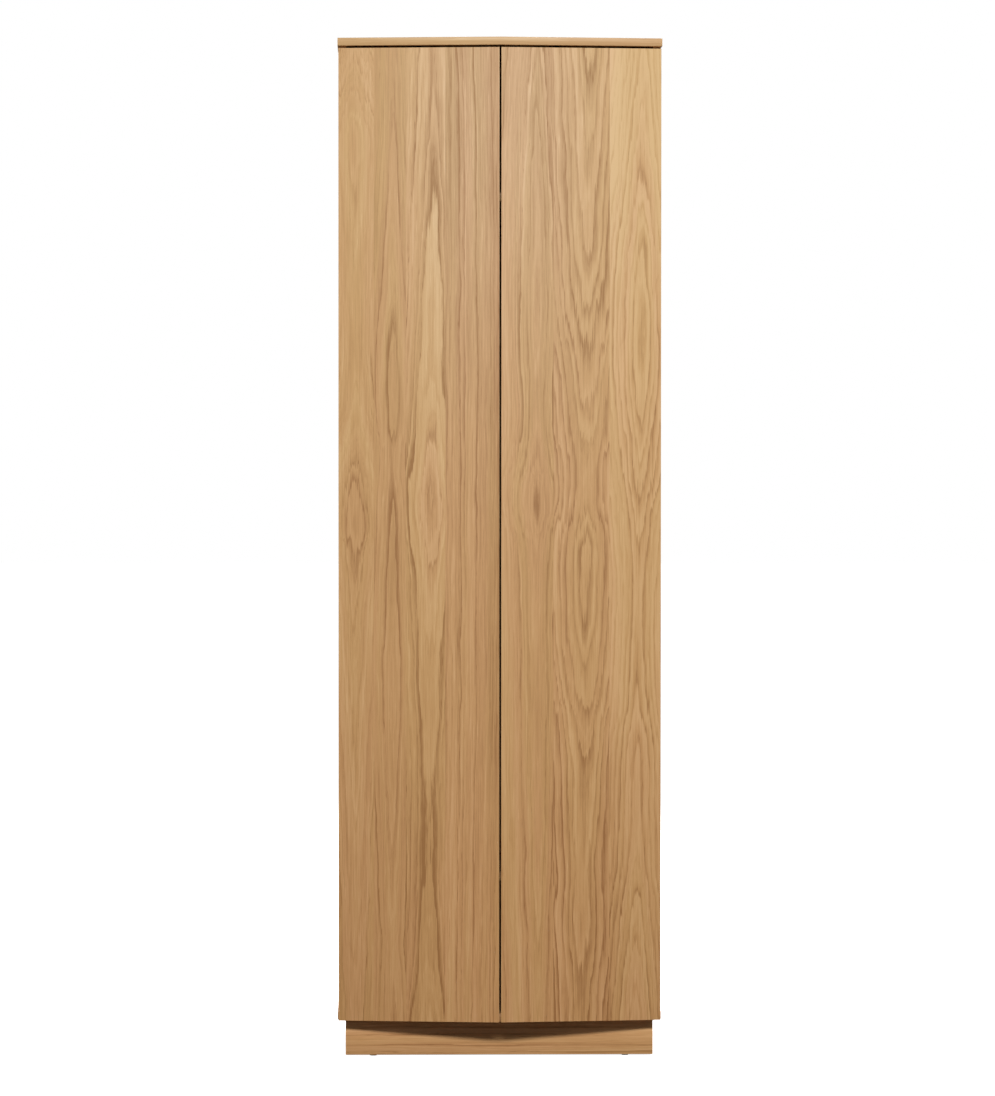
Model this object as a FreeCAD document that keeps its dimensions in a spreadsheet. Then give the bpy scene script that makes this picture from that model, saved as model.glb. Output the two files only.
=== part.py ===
import FreeCAD, Part
import os
import re
import Sketcher

# Tall two-door wardrobe in veneered board.
# The front is a shallow V in plan: each door turns away from a ridge at the centre.
# Frame: origin on the floor at the centre of the outline, +Z up, the doors face -Y.
# Every length is in millimetres.

SIZES = {
    # outline
    "overall_width": 700.0,
    "overall_height": 2200.0,
    "overall_depth": 600.0,
    "front_ridge": 45.0,
    # boards
    "board": 17.0,
    "board_overhang": 2.0,
    "corner_round": 2.0,
    # plinth
    "plinth_height": 80.0,
    "plinth_side_inset": 17.0,
    "plinth_front_inset": 34.0,
    "plinth_back_inset": 30.0,
    "glide_height": 2.0,
    "glide_radius": 8.0,
    "glide_inset": 60.0,
    "block_leg": 45.0,
    "block_height": 40.0,
    # back sheet and the strip that takes the wall screws
    "back_sheet": 4.0,
    "groove_depth": 8.0,
    "groove_play": 0.1,
    "strip_height": 90.0,
    "wall_hole_spacing": 400.0,
    "wall_hole_radius": 3.0,
    # loose tongues that join the boards: they go deep into an end and less deep into a face
    "tongue": 4.0,
    "tongue_deep": 12.0,
    "tongue_shallow": 8.0,
    "tongue_inset": 40.0,
    "tongue_play": 0.1,
    # shelves, their pins and the hanging rail
    "hat_space": 316.0,
    "lower_space": 286.0,
    "shelf_setback": 22.0,
    "shelf_play": 0.5,
    "pin_radius": 2.5,
    "pin_depth": 10.0,
    "pin_reach": 9.0,
    "pin_pitch": 32.0,
    "pin_inset": 70.0,
    "rail_drop": 55.0,
    "rail_radius": 12.5,
    "rail_wall": 1.2,
    "rail_play": 0.2,
    "socket_base": 3.0,
    "socket_width": 34.0,
    "socket_height": 66.0,
    "socket_wall": 2.5,
    "socket_reach": 14.0,
    # doors
    "door_gap": 3.0,
    "door_top_gap": 5.0,
    "door_centre_gap": 4.0,
    # hinges: places of the pivots are given from the door's outer edge and from its back face
    "hinge_end_distance": 100.0,
    "pivot_a_across": 32.0,
    "pivot_a_deep": 7.8,
    "pivot_b_across": 13.3,
    "pivot_b_deep": 6.6,
    "pivot_c_across": 36.1,
    "pivot_c_behind": 8.2,
    "pivot_d_across": 10.0,
    "pivot_d_deep": 3.8,
    "link_pin": 1.2,
    "pin_play": 0.05,
    "link_eye": 2.2,
    "link_bar": 2.4,
    "link_width": 7.2,
    "link_play": 0.3,
    "cheek": 1.1,
    "crook_out": 3.6,
    "crook_near": 4.4,
    "crook_far": 11.0,
    # hinge cup
    "cup_radius": 17.5,
    "cup_centre": 22.5,
    "cup_depth": 12.0,
    "cup_wall": 1.2,
    "cup_floor": 1.0,
    "cup_play": 0.1,
    "notch_depth": 3.5,
    "notch_play": 1.0,
    "flange": 1.2,
    "flange_length": 62.0,
    "flange_width": 24.0,
    "flange_shift": 6.0,
    "flange_corner": 5.0,
    # hinge arm and its plate
    "arm_eye": 2.5,
    "arm_web": 1.5,
    "arm_seat": 24.0,
    "arm_rear": 62.0,
    "arm_throat": 9.0,
    "wing": 2.5,
    "wing_length": 50.0,
    "wing_width": 16.0,
    "wing_setback": 37.0,
    "saddle": 4.0,
    "saddle_width": 16.0,
    "saddle_margin": 2.0,
    "saddle_key": 4.0,
    # push latch
    "latch_drop": 12.0,
    "latch_inset": 30.0,
    "latch_width": 16.0,
    "latch_length": 52.0,
    "latch_wall": 3.0,
    "plunger_radius": 4.0,
    "plunger_length": 32.0,
    "plunger_play": 0.08,
    "strike": 1.0,
    "strike_width": 20.0,
    "strike_height": 12.0,
    "strike_gap": 0.3,
    # cuts run past the face that they leave by
    "overrun": 1.0,
}

HINGES_PER_DOOR = 4
PIN_ROWS = 5

# Small pins and their bores are prisms with few flats; wider round forms have more.
FLATS_PER_PIN = 8
FLATS_PER_ROD = 12
FLATS_PER_CUP = 24
HALF_FLAT_ANGLE = 180 / FLATS_PER_PIN

# Places worked out from the sizes.
PLACES = {
    "half_width": "overall_width / 2",
    "half_depth": "overall_depth / 2",
    "slope": "front_ridge / half_width",
    "door_angle": "atan(slope)",
    "side_face": "half_width - board_overhang",
    "side_inner": "side_face - board",
    "top_underside": "overall_height - board",
    "base_top": "plinth_height + board",
    "side_height": "top_underside - base_top",
    # carcass front, measured along Y behind the front edge of the top board
    "front_inset": "(board_overhang + board + door_gap) / cos(door_angle)",
    "front_at_centre": "front_inset - half_depth",
    "side_front": "front_at_centre + side_face * slope",
    "inner_front": "front_at_centre + side_inner * slope",
    "back_rear": "half_depth - board",
    "back_front": "back_rear - back_sheet",
    "inner_span": "2 * side_inner",
    # loose tongues, along Y, and the width of their slots
    "tongue_front": "inner_front + tongue_inset",
    "tongue_back": "back_front - tongue_inset",
    "slot_half": "tongue / 2 + tongue_play",
    # shelves
    "hat_top": "top_underside - hat_space",
    "hat_underside": "hat_top - board",
    "lower_underside": "base_top + lower_space",
    "shelf_front_shift": "shelf_setback / cos(door_angle)",
    "pin_height": f"lower_underside - pin_radius * cos({HALF_FLAT_ANGLE})",
    "pin_bore": "pin_radius + pin_play",
    "pin_front": "inner_front + pin_inset",
    "pin_back": "back_front - pin_inset",
    "rail_height": "hat_underside - rail_drop",
    "rail_place": "(inner_front + back_front) / 2",
    # doors; the lean is the slant of an edge that is cut parallel to the cabinet's sides
    "door_bottom": "plinth_height",
    "door_height": "top_underside - door_top_gap - door_bottom",
    "door_back": "side_front - door_gap / cos(door_angle)",
    "door_width": "(side_face - door_centre_gap / 2) / cos(door_angle)",
    "lean": "board * slope",
    "hinge_pitch": f"(door_height - 2 * hinge_end_distance) / {HINGES_PER_DOOR - 1}",
    "first_hinge": "door_bottom + hinge_end_distance",
    # fixed hinge pivots, from the outer front corner of the side panel
    "a_x": "pivot_a_across * cos(door_angle) - pivot_a_deep * sin(door_angle)",
    "a_y": "-door_gap / cos(door_angle) - pivot_a_across * sin(door_angle)"
           " - pivot_a_deep * cos(door_angle)",
    "c_x": "pivot_c_across * cos(door_angle) + pivot_c_behind * sin(door_angle)",
    "c_y": "-door_gap / cos(door_angle) - pivot_c_across * sin(door_angle)"
           " + pivot_c_behind * cos(door_angle)",
    "arm_low": "board + saddle",
    "arm_high": "c_x + arm_eye",
    "wing_place": "wing_setback - board * slope",
    # layers of the hinge across its height, from its middle
    "link_half": "link_width / 2",
    "cheek_in": "link_half + link_play",
    "cheek_out": "cheek_in + cheek",
    "outer_in": "cheek_out + link_play",
    "outer_out": "outer_in + cheek",
    "link_bore": f"(link_pin + pin_play) / cos({HALF_FLAT_ANGLE})",
    # push latch
    "latch_place": "door_width - latch_inset",
    "latch_height": "top_underside - latch_drop",
    "latch_below": "plunger_radius + latch_wall",
}

FUNCTIONS = ("cos", "sin", "atan")
SIDES = (("left", 1), ("right", -1))

doc = FreeCAD.newDocument("wardrobe")
sheet = doc.addObject("Spreadsheet::Sheet", "sizes")
row = 0
for alias, number in SIZES.items():
    row += 1
    sheet.set(f"A{row}", alias)
    sheet.set(f"B{row}", str(number))
    sheet.setAlias(f"B{row}", alias)
for alias, formula in PLACES.items():
    row += 1
    sheet.set(f"A{row}", alias)
    sheet.set(f"B{row}", f"={formula}")
    sheet.setAlias(f"B{row}", alias)
doc.recompute()

parts = []


# Helpers that bind shapes to the sheet


def bound(expression):
    """The expression with the sheet's name before each of its sizes."""
    def add_sheet(match):
        word = match.group(0)
        return word if word in FUNCTIONS else f"sizes.{word}"
    return re.sub(r"[a-z][a-z_]*", add_sheet, expression)


def value(expression):
    """The present number of an expression of sizes."""
    found = sheet.evalExpression(bound(expression))
    return float(getattr(found, "Value", found))


def handed(hand, expression):
    """An across distance of a piece that exists left and right."""
    return expression if hand > 0 else f"-({expression})"


def place(piece, x="0", y="0", z="0", turn=None):
    """Bind the placement of a piece to the sheet; turn is an angle about Z."""
    for axis, expression in (("x", x), ("y", y), ("z", z)):
        if expression != "0":
            piece.setExpression(f"Placement.Base.{axis}", bound(expression))
    if turn is not None:
        piece.setExpression("Placement.Rotation.Angle", bound(turn))


def new_body(name, x="0", y="0", z="0", turn=None):
    """A sub-part with its own label and placement."""
    body = doc.addObject("PartDesign::Body", name)
    body.Label = name
    place(body, x, y, z, turn)
    parts.append(body)
    return body


def origin_part(body, role):
    """One of the planes or axes of a body's own origin."""
    return [item for item in body.Origin.OriginFeatures if item.Role == role][0]


def new_sketch(body, plane="XY_Plane", offset=None):
    """A sketch on an origin plane, moved along its normal by the offset."""
    sketch = body.newObject("Sketcher::SketchObject", "profile")
    sketch.AttachmentSupport = [(origin_part(body, plane), "")]
    sketch.MapMode = "FlatFace"
    if offset is not None:
        sketch.setExpression("AttachmentOffset.Base.z", bound(offset))
    return sketch


def hold(sketch, kind, places, expression):
    """A dimension of a sketch that follows the sheet."""
    index = sketch.addConstraint(Sketcher.Constraint(kind, *places, value(expression)))
    if expression != "0":
        sketch.setExpression(f"Constraints[{index}]", bound(expression))


def add_outline(sketch, points):
    """A closed outline of straight edges through points given as pairs of expressions."""
    first = sketch.GeometryCount
    spots = [FreeCAD.Vector(value(x), value(y), 0) for x, y in points]
    count = len(spots)
    edges = [Part.LineSegment(spots[i], spots[(i + 1) % count]) for i in range(count)]
    sketch.addGeometry(edges, False)
    for i in range(count):
        here = first + i
        after = first + (i + 1) % count
        sketch.addConstraint(Sketcher.Constraint("Coincident", here, 2, after, 1))
    for i, (x, y) in enumerate(points):
        hold(sketch, "DistanceX", (-1, 1, first + i, 1), x)
        hold(sketch, "DistanceY", (-1, 1, first + i, 1), y)


def add_box(sketch, x_low, x_high, y_low, y_high):
    """A rectangle between four expressions."""
    add_outline(sketch, [(x_low, y_low), (x_high, y_low), (x_high, y_high), (x_low, y_high)])


def add_circle(sketch, x, y, radius):
    """A circle whose centre and radius follow the sheet."""
    centre = FreeCAD.Vector(value(x), value(y), 0)
    upward = FreeCAD.Vector(0, 0, 1)
    index = sketch.addGeometry(Part.Circle(centre, upward, value(radius)), False)
    hold(sketch, "DistanceX", (-1, 1, index, 3), x)
    hold(sketch, "DistanceY", (-1, 1, index, 3), y)
    hold(sketch, "Radius", (index,), radius)


def add_flats(sketch, x, y, radius, flats=FLATS_PER_PIN):
    """A regular outline for a pin, bore or bowl, with flats to the sides; the radius is to its corners."""
    turns = [(2 * i + 1) * 180 / flats for i in range(flats)]
    add_outline(sketch, [
        (f"{x} + ({radius}) * cos({turn})", f"{y} + ({radius}) * sin({turn})") for turn in turns
    ])


def add_pad(body, sketch, length, both=False, back=False):
    """Raise a sketch along its plane's normal, both ways or backwards."""
    pad = body.newObject("PartDesign::Pad", "pad")
    pad.Profile = sketch
    pad.setExpression("Length", bound(length))
    pad.Midplane = both
    pad.Reversed = back
    doc.recompute()
    return pad


def add_pocket(body, sketch, length, both=False, forward=False):
    """Cut a sketch away, against its plane's normal unless forward is set."""
    before = body.Shape.Volume
    pocket = body.newObject("PartDesign::Pocket", "pocket")
    pocket.Profile = sketch
    pocket.setExpression("Length", bound(length))
    pocket.Midplane = both
    pocket.Reversed = forward
    doc.recompute()
    if not body.Shape.Volume < before:
        raise RuntimeError(f"{body.Label}: a pocket cuts nothing")
    return pocket


def repeat(body, feature, axis, length, count):
    """Copies of a feature, spread evenly over a length."""
    pattern = body.newObject("PartDesign::LinearPattern", "row")
    pattern.Originals = [feature]
    pattern.Direction = (origin_part(body, axis), [""])
    pattern.setExpression("Length", bound(length))
    pattern.Occurrences = count
    body.Tip = pattern
    doc.recompute()


def repeat_all(body, axis, length, count):
    """Copies of everything the body holds so far, spread evenly over a length."""
    pattern = body.newObject("PartDesign::LinearPattern", "rows")
    pattern.TransformMode = "Whole shape"
    pattern.Direction = (origin_part(body, axis), [""])
    pattern.setExpression("Length", bound(length))
    pattern.Occurrences = count
    body.Tip = pattern
    doc.recompute()


def mirror_all(body, plane):
    """The body as it stands, with its mirror image."""
    twin = body.newObject("PartDesign::Mirrored", "twin")
    twin.TransformMode = "Whole shape"
    twin.MirrorPlane = (origin_part(body, plane), [""])
    body.Tip = twin
    doc.recompute()


def round_uprights(body, corners, radius):
    """Round the upright edge that stands nearest to each of the given corners."""
    base = body.Tip
    boxes = [edge.BoundBox for edge in base.Shape.Edges]
    uprights = [i for i, box in enumerate(boxes) if box.ZLength > box.XLength + box.YLength]
    names = []
    for x, y in corners:
        corner = FreeCAD.Vector(value(x), value(y), 0)

        def distance(i):
            return FreeCAD.Vector(boxes[i].XMin, boxes[i].YMin, 0).distanceToPoint(corner)

        names.append(f"Edge{min(uprights, key=distance) + 1}")
    fillet = body.newObject("PartDesign::Fillet", "rounding")
    fillet.Base = (base, names)
    fillet.setExpression("Radius", bound(radius))
    doc.recompute()


# Boards of the carcass


def front_y(x, shift):
    """Y of a line parallel to the V front; x is the distance from the centre."""
    return f"({shift}) - half_depth + ({x}) * slope"


def add_v_board(name, z, half, shift, rear, thickness="board"):
    """A five-sided board whose front edge follows the V of the doors."""
    body = new_body(name, z=z)
    sketch = new_sketch(body)
    corner = front_y(half, shift)
    add_outline(sketch, [
        (f"-({half})", corner),
        ("0", front_y("0", shift)),
        (half, corner),
        (half, rear),
        (f"-({half})", rear),
    ])
    add_pad(body, sketch, thickness)
    return body


def add_tongue_slots(body, face, forward):
    """Slots for the tongues that stand in the side panels' ends."""
    sketch = new_sketch(body, offset=face)
    for side in ("", "-"):
        middle = f"{side}(side_face - board / 2)"
        add_box(
            sketch,
            f"{middle} - slot_half",
            f"{middle} + slot_half",
            "tongue_front - tongue_play",
            "tongue_back + tongue_play",
        )
    add_pocket(body, sketch, "tongue_shallow + tongue_play", forward=forward)


def add_back_groove(body, face, forward):
    """The groove that takes the edge of the back sheet."""
    sketch = new_sketch(body, offset=face)
    reach = "side_inner + groove_depth"
    add_box(sketch, f"-({reach})", reach, "back_front - groove_play", "back_rear + groove_play")
    add_pocket(body, sketch, "groove_depth", forward=forward)


top_panel = add_v_board("top_panel", "top_underside", "half_width", "0", "half_depth")
round_uprights(
    top_panel,
    [("half_width", front_y("half_width", "0")), ("-half_width", front_y("half_width", "0"))],
    "corner_round",
)
add_tongue_slots(top_panel, "0", True)
add_back_groove(top_panel, "0", True)

bottom_panel = add_v_board("bottom_panel", "plinth_height", "half_width", "front_inset", "half_depth")
round_uprights(
    bottom_panel,
    [("half_width", front_y("half_width", "front_inset")),
     ("-half_width", front_y("half_width", "front_inset"))],
    "corner_round",
)
add_tongue_slots(bottom_panel, "board", False)
add_back_groove(bottom_panel, "board", False)

# Side panels: the front edge is bevelled to lie parallel to the door


def add_side(side, hand):
    body = new_body(f"{side}_side", x=handed(-hand, "side_face"), z="base_top")
    inner = handed(hand, "board")
    into = hand < 0
    plan = new_sketch(body)
    add_outline(plan, [
        ("0", "side_front"),
        (inner, "inner_front"),
        (inner, "half_depth"),
        ("0", "half_depth"),
    ])
    add_pad(body, plan, "side_height")
    groove = new_sketch(body)
    add_box(
        groove,
        handed(hand, "board - groove_depth"),
        handed(hand, "board + overrun"),
        "back_front - groove_play",
        "back_rear + groove_play",
    )
    add_pocket(body, groove, "side_height", forward=True)
    for face, upward in (("0", True), ("side_height", False)):
        slot = new_sketch(body, offset=face)
        add_box(
            slot,
            handed(hand, "board / 2 - slot_half"),
            handed(hand, "board / 2 + slot_half"),
            "tongue_front - tongue_play",
            "tongue_back + tongue_play",
        )
        add_pocket(body, slot, "tongue_deep + tongue_play", forward=upward)
    shelf = new_sketch(body, "YZ_Plane", inner)
    shelf_middle = "hat_underside + board / 2 - base_top"
    add_box(
        shelf,
        "tongue_front - tongue_play",
        "tongue_back + tongue_play",
        f"{shelf_middle} - slot_half",
        f"{shelf_middle} + slot_half",
    )
    add_pocket(body, shelf, "tongue_shallow + tongue_play", forward=into)
    pins = new_sketch(body, "YZ_Plane", inner)
    lowest = f"pin_height - base_top - {PIN_ROWS // 2} * pin_pitch"
    for along in ("pin_front", "pin_back"):
        add_flats(pins, along, lowest, "pin_bore")
    holes = add_pocket(body, pins, "pin_depth", forward=into)
    repeat(body, holes, "Z_Axis", f"{PIN_ROWS - 1} * pin_pitch", PIN_ROWS)


for side, hand in SIDES:
    add_side(side, hand)

# Back sheet in its grooves, and the strip behind it that takes the two wall screws

back_panel = new_body("back_panel", y="back_rear", z="base_top - groove_depth + groove_play")
sheet_edge = "side_inner + groove_depth - groove_play"
sheet_face = new_sketch(back_panel, "XZ_Plane")
add_box(sheet_face, f"-({sheet_edge})", sheet_edge, "0", "side_height + 2 * (groove_depth - groove_play)")
strip_middle = "top_underside - strip_height / 2"
for turn in ("", "-"):
    add_circle(
        sheet_face,
        f"{turn}wall_hole_spacing / 2",
        f"{strip_middle} - base_top + groove_depth - groove_play",
        "wall_hole_radius",
    )
add_pad(back_panel, sheet_face, "back_sheet")

fixing_strip = new_body("fixing_strip", y="half_depth", z="top_underside - strip_height")
strip_face = new_sketch(fixing_strip, "XZ_Plane")
add_box(strip_face, "-side_inner", "side_inner", "0", "strip_height")
for turn in ("", "-"):
    add_circle(strip_face, f"{turn}wall_hole_spacing / 2", "strip_height / 2", "wall_hole_radius")
add_pad(fixing_strip, strip_face, "board")

# Shelves: the hat shelf is joined to the sides, the lower one lies on pins

hat_shelf = add_v_board(
    "hat_shelf", "hat_underside", "side_inner", "front_inset + shelf_front_shift", "back_front"
)
for face, forward in (("-side_inner", True), ("side_inner", False)):
    end = new_sketch(hat_shelf, "YZ_Plane", face)
    add_box(
        end,
        "tongue_front - tongue_play",
        "tongue_back + tongue_play",
        "board / 2 - slot_half",
        "board / 2 + slot_half",
    )
    add_pocket(hat_shelf, end, "tongue_deep + tongue_play", forward=forward)

add_v_board(
    "lower_shelf",
    "lower_underside",
    "side_inner - shelf_play",
    "front_inset + shelf_front_shift",
    "back_front - shelf_play",
)

shelf_pins = new_body("shelf_pins", z="pin_height")
pin_ends = new_sketch(shelf_pins, "YZ_Plane", "side_inner - pin_reach")
for along in ("pin_front", "pin_back"):
    add_flats(pin_ends, along, "0", "pin_radius")
add_pad(shelf_pins, pin_ends, "pin_reach + pin_depth")
mirror_all(shelf_pins, "YZ_Plane")

# Plinth: front and back boards run the full width, the side boards stand between them

plinth_rise = "plinth_height - glide_height"
plinth_half = "half_width - plinth_side_inset"
plinth_front_y = "front_ridge - half_depth + plinth_front_inset"
plinth_back_y = "half_depth - plinth_back_inset"


def add_plinth_board(name, x_low, x_high, y_low, y_high):
    body = new_body(name, z="glide_height")
    sketch = new_sketch(body)
    add_box(sketch, x_low, x_high, y_low, y_high)
    add_pad(body, sketch, plinth_rise)


add_plinth_board(
    "plinth_front", f"-({plinth_half})", plinth_half, plinth_front_y, f"{plinth_front_y} + board"
)
add_plinth_board(
    "plinth_back", f"-({plinth_half})", plinth_half, f"{plinth_back_y} - board", plinth_back_y
)
for side, hand in SIDES:
    add_plinth_board(
        f"plinth_{side}",
        handed(-hand, plinth_half),
        handed(-hand, f"{plinth_half} - board"),
        f"{plinth_front_y} + board",
        f"{plinth_back_y} - board",
    )

plinth_glides = new_body("plinth_glides")
glide_feet = new_sketch(plinth_glides)
for along in (f"{plinth_front_y} + board / 2", f"{plinth_back_y} - board / 2"):
    add_flats(glide_feet, f"{plinth_half} - glide_inset", along, "glide_radius")
add_pad(plinth_glides, glide_feet, "glide_height")
mirror_all(plinth_glides, "YZ_Plane")

plinth_blocks = new_body("plinth_blocks", z="plinth_height - block_height")
block_plan = new_sketch(plinth_blocks)
inner_corner = f"{plinth_half} - board"
for corner_y, leg in (
    (f"{plinth_front_y} + board", "block_leg"),
    (f"{plinth_back_y} - board", "-block_leg"),
):
    add_outline(block_plan, [
        (inner_corner, corner_y),
        (inner_corner, f"{corner_y} + {leg}"),
        (f"{inner_corner} - block_leg", corner_y),
    ])
add_pad(plinth_blocks, block_plan, "block_height")
mirror_all(plinth_blocks, "YZ_Plane")

# Loose tongues: two stand in the ends of each side panel, one lies in each end of the hat shelf

loose_tongues = new_body("loose_tongues", z="base_top")
standing = new_sketch(loose_tongues, offset="-tongue_shallow")
add_box(
    standing,
    "side_inner + board / 2 - tongue / 2",
    "side_inner + board / 2 + tongue / 2",
    "tongue_front",
    "tongue_back",
)
add_pad(loose_tongues, standing, "tongue_shallow + tongue_deep")
repeat_all(loose_tongues, "Z_Axis", "side_height + tongue_shallow - tongue_deep", 2)
lying = new_sketch(loose_tongues, offset="hat_underside + board / 2 - tongue / 2 - base_top")
add_box(
    lying,
    "side_inner - tongue_deep",
    "side_inner + tongue_shallow",
    "tongue_front",
    "tongue_back",
)
add_pad(loose_tongues, lying, "tongue")
mirror_all(loose_tongues, "YZ_Plane")

# Hanging rail and its sockets

rail_tube = doc.addObject("Part::Cylinder", "rail_tube")
rail_bore = doc.addObject("Part::Cylinder", "rail_bore")
rail_tube.setExpression("Radius", bound("rail_radius"))
rail_bore.setExpression("Radius", bound("rail_radius - rail_wall"))
for tube in (rail_tube, rail_bore):
    tube.setExpression("Height", bound("inner_span - 2 * (socket_base + rail_play)"))
hanging_rail = doc.addObject("Part::Cut", "hanging_rail")
hanging_rail.Label = "hanging_rail"
hanging_rail.Base = rail_tube
hanging_rail.Tool = rail_bore
hanging_rail.Placement.Rotation = FreeCAD.Rotation(FreeCAD.Vector(0, 1, 0), 90)
place(hanging_rail, "socket_base + rail_play - side_inner", "rail_place", "rail_height")
parts.append(hanging_rail)


def add_rail_socket(side, hand):
    body = new_body(f"{side}_rail_socket", x=handed(-hand, "side_inner"), y="rail_place", z="rail_height")
    back = hand < 0
    plate = new_sketch(body, "YZ_Plane")
    add_box(plate, "-socket_width / 2", "socket_width / 2", "-socket_height / 2", "socket_height / 2")
    add_pad(body, plate, "socket_base", back=back)
    ring = new_sketch(body, "YZ_Plane")
    add_flats(ring, "0", "0", "rail_radius + rail_play + socket_wall", FLATS_PER_ROD)
    add_pad(body, ring, "socket_reach", back=back)
    seat = new_sketch(body, "YZ_Plane", handed(hand, "socket_base"))
    add_circle(seat, "0", "0", "rail_radius + rail_play")
    add_pocket(body, seat, "socket_reach", forward=hand > 0)
    mouth = new_sketch(body, "YZ_Plane", handed(hand, "socket_base"))
    half_mouth = "rail_radius + rail_play"
    add_box(mouth, f"-({half_mouth})", half_mouth, "0", "socket_height / 2")
    add_pocket(body, mouth, "socket_reach", forward=hand > 0)


for side, hand in SIDES:
    add_rail_socket(side, hand)

# Doors. A door's own frame starts at the back of its outer edge, with X along the door.


def door_frame(hand, z):
    """Placement of a piece that is drawn in a door's own frame."""
    turn = "-door_angle" if hand > 0 else "door_angle"
    return {"x": handed(-hand, "side_face"), "y": "door_back", "z": z, "turn": turn}


def side_frame(hand, z):
    """Placement of a piece that is drawn from a side panel's outer front corner."""
    return {"x": handed(-hand, "side_face"), "y": "side_front", "z": z}


def add_door(side, hand):
    body = new_body(f"{side}_door", **door_frame(hand, "door_bottom"))
    plan = new_sketch(body)
    add_outline(plan, [
        ("0", "0"),
        (handed(hand, "door_width"), "0"),
        (handed(hand, "door_width + lean"), "-board"),
        (handed(hand, "lean"), "-board"),
    ])
    add_pad(body, plan, "door_height")
    cups = new_sketch(body, "XZ_Plane")
    add_circle(cups, handed(hand, "cup_centre"), "hinge_end_distance", "cup_radius + cup_play")
    seats = add_pocket(body, cups, "cup_depth + cup_play", forward=True)
    repeat(body, seats, "Z_Axis", f"{HINGES_PER_DOOR - 1} * hinge_pitch", HINGES_PER_DOOR)


for side, hand in SIDES:
    add_door(side, hand)

# Concealed hinges. A fixed arm carries the pivots A and C, the cup carries B and D.
# The inner link joins A and B; the outer link joins C and D and is open at D.


def hinge_height(number):
    """Height of a hinge's middle; the lowest hinge is number 0."""
    return f"first_hinge + {number} * hinge_pitch"


def add_cup(side, hand, number):
    body = new_body(f"{side}_hinge_cup_{number + 1}", **door_frame(hand, hinge_height(number)))
    centre = handed(hand, "cup_centre")
    shell = new_sketch(body, "XZ_Plane")
    add_flats(shell, centre, "0", "cup_radius", FLATS_PER_CUP)
    add_pad(body, shell, "cup_depth")
    band = new_sketch(body, "XZ_Plane")
    low = "cup_centre + flange_shift - flange_width / 2"
    high = "cup_centre + flange_shift + flange_width / 2"
    end = "flange_length / 2"
    add_outline(band, [
        (handed(hand, f"{low} + flange_corner"), f"-{end}"),
        (handed(hand, f"{high} - flange_corner"), f"-{end}"),
        (handed(hand, high), f"-{end} + flange_corner"),
        (handed(hand, high), f"{end} - flange_corner"),
        (handed(hand, f"{high} - flange_corner"), end),
        (handed(hand, f"{low} + flange_corner"), end),
        (handed(hand, low), f"{end} - flange_corner"),
        (handed(hand, low), f"-{end} + flange_corner"),
    ])
    add_pad(body, band, "flange", back=True)
    bowl = new_sketch(body, "XZ_Plane", "-flange - overrun")
    add_flats(bowl, centre, "0", "cup_radius - cup_wall", FLATS_PER_CUP)
    add_pocket(body, bowl, "flange + overrun + cup_depth - cup_floor", forward=True)
    notch = new_sketch(body, "XZ_Plane")
    add_box(
        notch,
        handed(hand, "cup_centre - cup_radius - overrun"),
        handed(hand, "pivot_d_across"),
        "-(outer_out + notch_play)",
        "outer_out + notch_play",
    )
    add_pocket(body, notch, "notch_depth", forward=True)
    for level in ("cheek_in", "-cheek_out"):
        ear = new_sketch(body, offset=level)
        add_box(
            ear,
            handed(hand, "pivot_b_across - link_eye"),
            handed(hand, "pivot_b_across + link_eye"),
            "cup_floor / 2 - cup_depth",
            "link_eye - pivot_b_deep",
        )
        add_flats(ear, handed(hand, "pivot_b_across"), "-pivot_b_deep", "link_bore")
        add_pad(body, ear, "cheek")


def add_arm(side, hand, number):
    body = new_body(f"{side}_hinge_arm_{number + 1}", **side_frame(hand, hinge_height(number)))
    plan = new_sketch(body)
    add_outline(plan, [
        (handed(hand, "a_x - arm_eye"), "a_y - arm_eye"),
        (handed(hand, "a_x + arm_eye"), "a_y - arm_eye"),
        (handed(hand, "arm_high"), "c_y"),
        (handed(hand, "arm_high"), "arm_rear"),
        (handed(hand, "arm_low"), "arm_rear"),
        (handed(hand, "arm_low"), "arm_seat"),
        (handed(hand, "arm_high - arm_throat"), "c_y + arm_throat"),
        (handed(hand, "c_x - arm_eye"), "c_y"),
    ])
    add_flats(plan, handed(hand, "a_x"), "a_y", "link_bore")
    add_flats(plan, handed(hand, "c_x"), "c_y", "link_bore")
    add_pad(body, plan, "2 * cheek_out", both=True)
    channel = new_sketch(body)
    under_web = handed(hand, "arm_high - arm_web")
    past_top = handed(hand, "arm_high + overrun")
    past_low = handed(hand, "arm_low - overrun")
    add_outline(channel, [
        (past_low, "a_y - arm_eye - overrun"),
        (past_top, "a_y - arm_eye - overrun"),
        (past_top, "c_y + arm_eye"),
        (under_web, "c_y + arm_eye"),
        (under_web, "arm_rear + overrun"),
        (past_low, "arm_rear + overrun"),
    ])
    add_pocket(body, channel, "2 * cheek_in", both=True)


def add_plate(side, hand, number):
    body = new_body(f"{side}_hinge_plate_{number + 1}", **side_frame(hand, hinge_height(number)))
    inner = handed(hand, "board")
    wing = new_sketch(body)
    add_box(
        wing, inner, handed(hand, "board + wing"),
        "wing_place - wing_width / 2", "wing_place + wing_width / 2",
    )
    add_pad(body, wing, "wing_length", both=True)
    saddle = new_sketch(body)
    add_box(
        saddle, inner, handed(hand, "arm_low"),
        "arm_seat - saddle_margin", "arm_rear + saddle_margin",
    )
    add_pad(body, saddle, "saddle_width", both=True)
    key = new_sketch(body)
    add_box(
        key, handed(hand, "arm_low"), handed(hand, "arm_low + saddle_key"),
        "arm_seat + saddle_margin", "arm_rear - saddle_margin",
    )
    add_pad(body, key, "link_width", both=True)


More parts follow.
